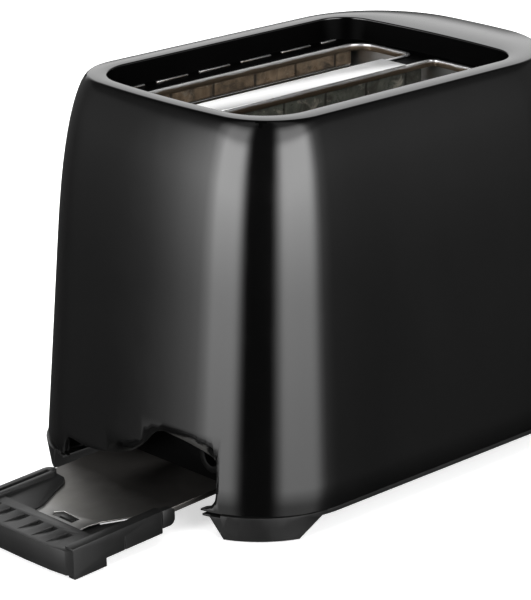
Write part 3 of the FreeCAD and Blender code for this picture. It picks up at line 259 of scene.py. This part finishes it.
def winding(name):
    """Fine enamelled wire wound in close turns."""
    material, nodes, shader = new_material(name)
    turns = nodes.add("ShaderNodeTexWave", {"Vector": nodes.where(), "Scale": 900.0, "Distortion": 0.4},
                      bands_direction="Z").outputs["Fac"]
    enamel = nodes.mix(turns, (0.10, 0.03, 0.01, 1.0), (0.55, 0.20, 0.07, 1.0))
    nodes.feed(shader.inputs["Base Color"], enamel)
    nodes.feed(shader.inputs["Roughness"], nodes.span(turns, 0.0, 1.0, 0.5, 0.25))
    nodes.feed(shader.inputs["Normal"], nodes.bump(turns, 0.8, 0.0002))
    shader.inputs["Metallic"].default_value = 0.7
    return material


# Heights and distances in the drawing's millimetres: where the slots' steel and the boards are
# scorch-marked, and where the painted shade on the tray starts and is deepest.
BURNT_BELOW_Z, CLEAN_ABOVE_Z = 173.8, 174.6
UNSHADED_TRAY_X, DEEPEST_SHADE_TRAY_X = -60.0, -6.0
SEAM_PITCH = 26.8 * MM
BLACK, SOFT_BLACK = grey(0.0010), grey(0.0020)
ALONG_X, ALONG_Z = (60.0, 2600.0, 2600.0), (2600.0, 2600.0, 60.0)
MATERIALS = {
    "shell": plastic("shell", BLACK, SOFT_BLACK, (0.10, 0.15), 240.0, 0.000004),
    "bay": plastic("bay", grey(0.0006), grey(0.0012), (0.6, 0.75), 1900.0, 0.00006, 0.02, 0.0),
    "well_floor": plastic("well_floor", grey(0.0004), grey(0.0009), (0.36, 0.48), 1500.0, 0.00003,
                          0.015, 0.0),
    "panel": plastic("panel", grey(0.006), grey(0.010), (0.26, 0.36), 2600.0, 0.00004, 0.4),
    "base": plastic("base", grey(0.004), grey(0.007), (0.34, 0.48), 2400.0, 0.00005, 0.3),
    "rubber": plastic("rubber", grey(0.012), grey(0.02), (0.7, 0.85), 1800.0, 0.0001, 0.3),
    "handle": plastic("handle", grey(0.005), grey(0.009), (0.32, 0.44), 2200.0, 0.00004, 0.3, 0.02),
    "gland": plastic("gland", grey(0.001), grey(0.002), (0.45, 0.55), 1900.0, 0.00005, 0.08, 0.002),
    "knob": plastic("knob", grey(0.004), grey(0.007), (0.14, 0.24), 500.0, 0.00001),
    "button": plastic("button", grey(0.006), grey(0.010), (0.2, 0.3), 800.0, 0.00001),
    "nylon": plastic("nylon", (0.60, 0.58, 0.52, 1.0), (0.74, 0.72, 0.66, 1.0), (0.4, 0.55), 900.0,
                     0.00004),
    "component": plastic("component", grey(0.02), grey(0.035), (0.35, 0.5), 1300.0, 0.00005),
    "circuit_board": plastic("circuit_board", (0.20, 0.12, 0.045, 1.0), (0.33, 0.21, 0.09, 1.0),
                             (0.4, 0.55), 1500.0, 0.00005),
    "marking": plastic("marking", grey(0.72), grey(0.82), (0.45, 0.55), 1600.0, 0.00002),
    "tray_steel": tray_with_painted_shade(),
    "bright_steel": lip_steel(),
    "plain_steel": metal("plain_steel", grey(0.58), grey(0.78), (0.3, 0.46), ALONG_Z, 0.00003),
    "screw_steel": metal("screw_steel", grey(0.42), grey(0.60), (0.25, 0.4), ALONG_Z, 0.00003),
    "reflector": metal("reflector", (0.55, 0.50, 0.41, 1.0), (0.70, 0.67, 0.59, 1.0), (0.16, 0.32),
                       ALONG_X, 0.00003, stain=(0.36, 0.25, 0.13, 1.0)),
    "nichrome": metal("nichrome", (0.20, 0.17, 0.15, 1.0), (0.40, 0.35, 0.30, 1.0), (0.35, 0.5), ALONG_X,
                      0.00003, stain=(0.12, 0.09, 0.08, 1.0)),
    "guide_wire": metal("guide_wire", grey(0.62), grey(0.82), (0.10, 0.22), ALONG_Z, 0.00001,
                        stain=(0.50, 0.42, 0.30, 1.0)),
    "spring_steel": metal("spring_steel", grey(0.34), grey(0.46), (0.25, 0.4), ALONG_Z, 0.00002),
    "mica": mica("mica"),
    "copper": winding("copper"),
}


def paint(piece, slot):
    piece.data.materials.clear()
    piece.data.materials.append(MATERIALS[slot])


# ---- mesh helpers --------------------------------------------------------------
def finish_mesh(bm, name, angle=32.0):
    """Turn a bmesh into a smooth-shaded object whose edges above the angle stay crisp."""
    limit = math.radians(angle)
    for face in bm.faces:
        face.smooth = True
    for edge in bm.edges:
        edge.smooth = len(edge.link_faces) == 2 and edge.calc_face_angle(0.0) < limit
    mesh = bpy.data.meshes.new(name)
    bm.to_mesh(mesh)
    bm.free()
    piece = bpy.data.objects.new(name, mesh)
    bpy.context.scene.collection.objects.link(piece)
    return piece


def adopt(piece, *nodes):
    """The piece stands for CAD nodes, rides with their body and takes their finish."""
    paint(piece, SLOT_OF[nodes[0]])
    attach(piece, BODY_OF[nodes[0]])
    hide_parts(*nodes)
    return piece


def bevelled(bm, width, segments, angle=25.0):
    limit = math.radians(angle)
    edges = [e for e in bm.edges if len(e.link_faces) == 2 and e.calc_face_angle(0.0) > limit]
    bmesh.ops.bevel(bm, geom=edges, offset=width, segments=segments, profile=0.5, affect="EDGES",
                    clamp_overlap=True)


def softened(node, width, segments=2):
    """The CAD piece with its flat faces made whole and its edges rounded."""
    bm = bmesh.new()
    bm.from_mesh(NODES[node].data)
    bmesh.ops.remove_doubles(bm, verts=bm.verts, dist=0.000005)
    bmesh.ops.dissolve_limit(bm, angle_limit=math.radians(1.0), verts=bm.verts, edges=bm.edges)
    bevelled(bm, width * MM, segments)
    return adopt(finish_mesh(bm, node + "_shape"), node)


def end_prism(outline, near, far):
    """Closed prism along X over an outline of (y, z) points in drawing millimetres."""
    bm = bmesh.new()
    rings = [[bm.verts.new(place(x, y, z)) for y, z in outline] for x in (near, far)]
    bm.faces.new(rings[0])
    bm.faces.new(rings[1])
    join_rings(bm, rings[0], rings[1])
    bmesh.ops.recalc_face_normals(bm, faces=bm.faces)
    return bm


def eased(points, share=0.3, count=4):
    """The closed outline with each corner turned into a short curve."""
    curve = []
    for before, here, after in zip(points[-1:] + points[:-1], points, points[1:] + points[:1]):
        start, corner, end = (Vector(here).lerp(Vector(other), share) for other in (before, here, after))
        for i in range(count + 1):
            t = i / count
            curve.append(tuple(start * (1 - t) ** 2 + corner * 2 * t * (1 - t) + end * t * t))
    return curve


def join_rings(bm, lower, upper):
    count = len(lower)
    for i in range(count):
        j = (i + 1) % count
        bm.faces.new((lower[i], lower[j], upper[j], upper[i]))


def arc(centre_x, centre_y, radius, start, end, count):
    """Points from start to end, both in degrees."""
    points = []
    for i in range(count + 1):
        angle = math.radians(start + (end - start) * i / count)
        points.append((centre_x + radius * math.cos(angle), centre_y + radius * math.sin(angle)))
    return points


def rounded_box(x0, x1, y0, y1, radii, count=8):
    """Outline with corner radii given from (x0, y0) round to (x0, y1)."""
    ra, rb, rc, rd = radii
    return (arc(x0 + ra, y0 + ra, ra, 180, 270, count) + arc(x1 - rb, y0 + rb, rb, 270, 360, count)
            + arc(x1 - rc, y1 - rc, rc, 0, 90, count) + arc(x0 + rd, y1 - rd, rd, 90, 180, count))


# ---- housing -------------------------------------------------------------------
LENGTH, HALF_WIDTH, HEIGHT, SHELL_LOW = 252.0, 85.7, 185.0, 12.8
WALL, WELL_WALL, NEAR_CORNER, FAR_CORNER, BOW = 2.6, 2.2, 48.8, 70.0, 450.0
WAIST, WELL_FLOOR = 106.0, 174.2


def inset(z):
    """How far the outer skin has leaned in at height z."""
    t = max(0.0, (z - WAIST) / (HEIGHT - WAIST))
    return 0.061 * (z - SHELL_LOW) + 9.1 * (1.0 - (1.0 - t ** 2.7) ** (1.0 / 1.75))


def outline(near, far, half, r_near, r_far):
    """Straight sides, slightly bowed ends and round corners, as (x, y) points."""
    def corner(radius):
        reach = BOW - radius
        back = BOW - math.sqrt(reach ** 2 - (half - radius) ** 2)
        return back, math.degrees(math.atan2(half - radius, BOW - back))

    back_n, turn_n = corner(r_near)
    back_f, turn_f = corner(r_far)
    cx_n, cx_f = near + back_n, far - back_f
    points = [(cx_n + (cx_f - cx_n) * i / 10, -half) for i in range(10)]
    points += arc(cx_f, r_far - half, r_far, 270, 360 - turn_f, 28)[:-1]
    points += arc(far - BOW, 0.0, BOW, -turn_f, turn_f, 18)[:-1]
    points += arc(cx_f, half - r_far, r_far, turn_f, 90, 28)[:-1]
    points += [(cx_f + (cx_n - cx_f) * i / 10, half) for i in range(10)]
    points += arc(cx_n, half - r_near, r_near, 90, 180 - turn_n, 28)[:-1]
    points += arc(near + BOW, 0.0, BOW, 180 - turn_n, 180 + turn_n, 18)[:-1]
    points += arc(cx_n, r_near - half, r_near, 180 + turn_n, 270, 28)[:-1]
    return points


def housing_ring(lean, inward):
    turned = lean + inward
    return outline(1.2 * lean + inward, LENGTH - 1.1 * lean - inward, HALF_WIDTH - turned,
                   NEAR_CORNER - turned, FAR_CORNER - turned)


def well_ring(inward):
    return outline(29.8 + inward, 199.9 - inward, 57.4 - inward, 24.0 - inward, 17.0 - inward)


def shell_rings():
    """Rings up the recess wall's back, down the inner skin, up the outer skin and down the recess."""
    rings = [(well_ring(1.6 - WELL_WALL), WELL_FLOOR), (well_ring(0.4 - WELL_WALL), HEIGHT - WALL)]
    inner = [HEIGHT - WALL - i * (HEIGHT - WALL - WAIST) / 8 for i in range(9)] + [60.0, SHELL_LOW + 0.6]
    rings += [(housing_ring(inset(z), WALL), z) for z in inner]
    rings.append((housing_ring(0.0, WALL - 0.5), SHELL_LOW))
    rings.append((housing_ring(0.0, 0.6), SHELL_LOW))
    rings.append((housing_ring(0.0, 0.18), SHELL_LOW + 0.18))
    lower = [SHELL_LOW + 0.6] + [SHELL_LOW + i * (WAIST - SHELL_LOW) / 8 for i in range(1, 9)]
    rings += [(housing_ring(inset(z), 0.0), z) for z in lower]
    shoulder = [WAIST + (HEIGHT - WAIST) * math.sin(0.5 * math.pi * i / 30) for i in range(1, 31)]
    rings += [(housing_ring(inset(z), 0.0), z) for z in shoulder]
    rings += [(well_ring(-0.7 + 0.7 * math.sin(a)), HEIGHT - 0.7 + 0.7 * math.cos(a))
              for a in [0.5 * math.pi * i / 5 for i in range(6)]]
    rings.append((well_ring(1.45), WELL_FLOOR + 0.9))
    rings += [(well_ring(1.45 + 0.9 - 0.9 * math.cos(a)), WELL_FLOOR + 0.9 - 0.9 * math.sin(a))
              for a in [0.5 * math.pi * i / 4 for i in range(1, 5)]]
    return rings


def opening_outline():
    low = SHELL_LOW - 1.0
    points = [
        (43.5, 19.0), (40.5, 22.6), (30.0, 21.6), (20.0, 22.4), (5.5, 25.4), (-4.7, 29.2), (-11.4, 34.4),
        (-16.0, 39.3), (-19.5, 42.2), (-23.5, 43.6), (-38.3, 42.2), (-47.3, 40.4), (-52.7, 38.0),
        (-53.9, 35.4), (-54.3, 19.0), (-52.0, 15.6), (-47.2, 14.2),
    ]
    return eased([(45.0, low)] + points + [(-47.2, low)])


def shell_cutters():
    """Prisms taken out of the housing: tray opening, lever slot, and the shaft's and button's holes."""
    inside, outside = LENGTH - 40.0, LENGTH + 1.0
    slot = rounded_box(-2.9, 2.9, 75.7, 152.3, (2.8,) * 4, 8)
    return [
        end_prism(opening_outline(), -20.0, 17.0),
        end_prism(slot, inside, outside),
        end_prism(arc(0.0, 50.0, 4.5, 0, 360, 32)[:-1], inside, outside),
        end_prism(arc(-29.0, 70.0, 7.3, 0, 360, 40)[:-1], inside, outside),
    ]


def subtract(piece, cutters):
    """Take each cutter out of the piece for good."""
    bm = bmesh.new()
    spare = bpy.data.meshes.new("cutter")
    for cutter in cutters:
        cutter.to_mesh(spare)
        bm.from_mesh(spare)
        cutter.free()
    bm.to_mesh(spare)
    bm.free()
    tool = bpy.data.objects.new("cutter", spare)
    bpy.context.scene.collection.objects.link(tool)
    cut = piece.modifiers.new("cut", "BOOLEAN")
    cut.operation = "DIFFERENCE"
    cut.solver = "EXACT"
    cut.use_self = True
    cut.object = tool
    bpy.context.view_layer.update()
    result = bpy.data.meshes.new_from_object(piece.evaluated_get(bpy.context.evaluated_depsgraph_get()))
    piece.modifiers.clear()
    piece.data = result
    bpy.data.objects.remove(tool)


def dull_recess(piece):
    """The sunken top's walls are moulded as dull as its floor."""
    piece.data.materials.append(MATERIALS["well_floor"])
    low, high = place(29.5, -57.7, WELL_FLOOR - 1.0), place(200.2, 57.7, HEIGHT - 0.7)
    for face in piece.data.polygons:
        if all(a < c < b for a, c, b in zip(low, face.center, high)):
            face.material_index = 1


def make_shell():
    bm = bmesh.new()
    rings = [[bm.verts.new(place(x, y, z)) for x, y in ring] for ring, z in shell_rings()]
    for lower, upper in zip(rings, rings[1:] + rings[:1]):
        join_rings(bm, lower, upper)
    bmesh.ops.recalc_face_normals(bm, faces=bm.faces)
    piece = finish_mesh(bm, "housing_shell")
    subtract(piece, shell_cutters())
    bm = bmesh.new()
    bm.from_mesh(piece.data)
    bpy.data.objects.remove(piece)
    bmesh.ops.remove_doubles(bm, verts=bm.verts, dist=0.000002)
    bevelled(bm, 0.4 * MM, 2, angle=55.0)
    piece = adopt(finish_mesh(bm, "housing_shell", 35.0), "body_shell")
    dull_recess(piece)


# ---- stage ---------------------------------------------------------------------
CAMERA_AT = place(-752.99, -865.40, 493.29)
CAMERA_YAW, CAMERA_PITCH = 0.799505, 0.331560
LENS_MM = 166.31


def make_camera():
    data = bpy.data.cameras.new("camera")
    data.lens = LENS_MM
    data.sensor_width = 36.0
    data.clip_start = 0.05
    camera = bpy.data.objects.new("camera", data)
    forward = Vector((math.cos(CAMERA_YAW) * math.cos(CAMERA_PITCH),
                      math.sin(CAMERA_YAW) * math.cos(CAMERA_PITCH), -math.sin(CAMERA_PITCH)))
    aim = forward.to_track_quat("-Z", "Y").to_matrix().to_4x4()
    camera.matrix_world = Matrix.Translation(CAMERA_AT) @ aim
    bpy.context.scene.collection.objects.link(camera)
    bpy.context.scene.camera = camera


def make_floor():
    """A wide pale sweep that the toaster stands on."""
    bm = bmesh.new()
    bmesh.ops.create_grid(bm, x_segments=24, y_segments=24, size=6.0)
    floor = finish_mesh(bm, "floor")
    floor.location.z = -0.0002
    material, nodes, shader = new_material("floor")
    cloud = nodes.noise(nodes.where(), 2.0, 3.0)
    nodes.feed(shader.inputs["Base Color"], nodes.mix(cloud, grey(0.93), grey(0.95)))
    shader.inputs["Roughness"].default_value = 0.9
    shader.inputs["Specular IOR Level"].default_value = 0.1
    shader.inputs["Emission Color"].default_value = grey(1.0)
    shader.inputs["Emission Strength"].default_value = 0.6
    floor.data.materials.append(material)
    floor.visible_glossy = False


def ramp(nodes, value, stops):
    """Level that runs straight between the given (value, level) stops."""
    low, high = stops[0][0], stops[-1][0]
    node = nodes.add("ShaderNodeValToRGB", {"Fac": nodes.span(value, low, high, 0.0, 1.0)})
    elements = node.color_ramp.elements
    elements[0].color = grey(stops[0][1])
    elements[1].color = grey(stops[-1][1])
    for at, level in stops[1:-1]:
        elements.new((at - low) / (high - low)).color = grey(level)
    return node.outputs["Color"]


# Brightness of the studio by the angle in degrees from straight behind the camera, and by height.
RIGHT_PANEL = [(0, 0), (10, 0), (14, 0.1), (20, 0.5), (25, 0.92), (29, 1), (58, 1), (63, 0.8),
               (70, 0.32), (76, 0.13), (84, 0.08), (91, 0.05), (100, 0.032), (130, 0.02), (180, 0.02)]
LEFT_PANEL = [(0, 0), (17, 0), (21, 0.12), (30, 0.88), (34, 1), (58, 1), (66, 0.67), (79, 0.33),
              (83, 0.17), (87, 0.08), (92, 0.045), (120, 0.02), (180, 0.02)]
PANEL_HEIGHT = [(-90, 0.05), (-30, 0.1), (-15, 0.36), (-11, 0.54), (-8, 0.66), (2, 1), (18, 1),
                (20, 0.92), (25, 0.5), (34, 0.45), (50, 0.06), (90, 0.02)]
PANEL_LEVEL = 8.3
WALL_LEVEL = 1.2
BEHIND_CAMERA = 137.0


def make_studio():
    """Soft studio: two tall panels beside the camera and a pale wall behind the object."""
    world = bpy.data.worlds.new("studio")
    world.use_nodes = True
    bpy.context.scene.world = world
    nodes = Nodes(world.node_tree)
    world.node_tree.nodes.clear()
    way = nodes.add("ShaderNodeTexCoord").outputs["Generated"]
    turned = nodes.add("ShaderNodeVectorRotate", {"Vector": way, "Angle": math.radians(BEHIND_CAMERA)},
                       rotation_type="Z_AXIS")
    parts = nodes.add("ShaderNodeSeparateXYZ", {"Vector": turned.outputs["Vector"]})
    turn = nodes.math("DEGREES", nodes.math("ARCTAN2", parts.outputs["Y"], parts.outputs["X"]))
    away = nodes.math("ABSOLUTE", turn)
    rise = nodes.math("DEGREES", nodes.math("ARCSINE", parts.outputs["Z"]))
    side = nodes.math("GREATER_THAN", turn, 0.0)
    panels = nodes.mix(side, ramp(nodes, away, LEFT_PANEL), ramp(nodes, away, RIGHT_PANEL))
    panels = nodes.math("MULTIPLY", panels, ramp(nodes, rise, PANEL_HEIGHT))
    panels = nodes.math("MULTIPLY", panels, PANEL_LEVEL)
    behind = nodes.span(away, 140.0, 165.0, 0.0, WALL_LEVEL, smooth=True)
    band = nodes.math("MULTIPLY", nodes.span(rise, 2.0, 10.0, 0.0, 1.0, smooth=True),
                      nodes.span(rise, 30.0, 50.0, 1.0, 0.0, smooth=True))
    total = nodes.math("ADD", panels, nodes.math("MULTIPLY", behind, band))
    seen = nodes.add("ShaderNodeLightPath").outputs["Is Camera Ray"]
    light = nodes.add("ShaderNodeBackground", {"Color": (1.0, 1.0, 1.0, 1.0), "Strength": total})
    plain = nodes.add("ShaderNodeBackground", {"Color": (1.0, 1.0, 1.0, 1.0), "Strength": 1.0})
    mixed = nodes.add("ShaderNodeMixShader")
    nodes.feed(mixed.inputs[0], seen)
    nodes.feed(mixed.inputs[1], light.outputs["Background"])
    nodes.feed(mixed.inputs[2], plain.outputs["Background"])
    nodes.add("ShaderNodeOutputWorld", {"Surface": mixed.outputs["Shader"]})


def make_fill_light():
    """Wide overhead fill that brightens the floor and the matt surfaces."""
    data = bpy.data.lights.new("fill", "AREA")
    data.shape = "DISK"
    data.size = 2.6
    data.energy = 60.0
    fill = bpy.data.objects.new("fill", data)
    fill.location = (-0.3, -0.2, 2.2)
    fill.visible_glossy = False
    bpy.context.scene.collection.objects.link(fill)


# Node, edge radius in millimetres and segments of each CAD piece whose edges are rounded.
SOFTENED = [
    ("tray_handle", 0.35, 2), ("crumb_tray", 0.2, 2), ("centre_divider", 0.3, 2), ("slot_frame", 0.38, 3),
    ("well_floor", 0.25, 2), ("browning_dial", 0.5, 3), ("control_panel", 0.3, 2), ("base_pan", 0.4, 2),
    ("cancel_button", 0.5, 3), ("cord_gland", 0.5, 3), ("recess_panel", 0.4, 2), ("lever_arm", 0.3, 2),
]


def main():
    for node, slot in SLOT_OF.items():
        paint(NODES[node], slot)
    make_shell()
    for node, width, segments in SOFTENED:
        softened(node, width, segments)
    make_camera()
    make_floor()
    make_studio()
    make_fill_light()
    bpy.context.scene.view_settings.view_transform = "Standard"


main()
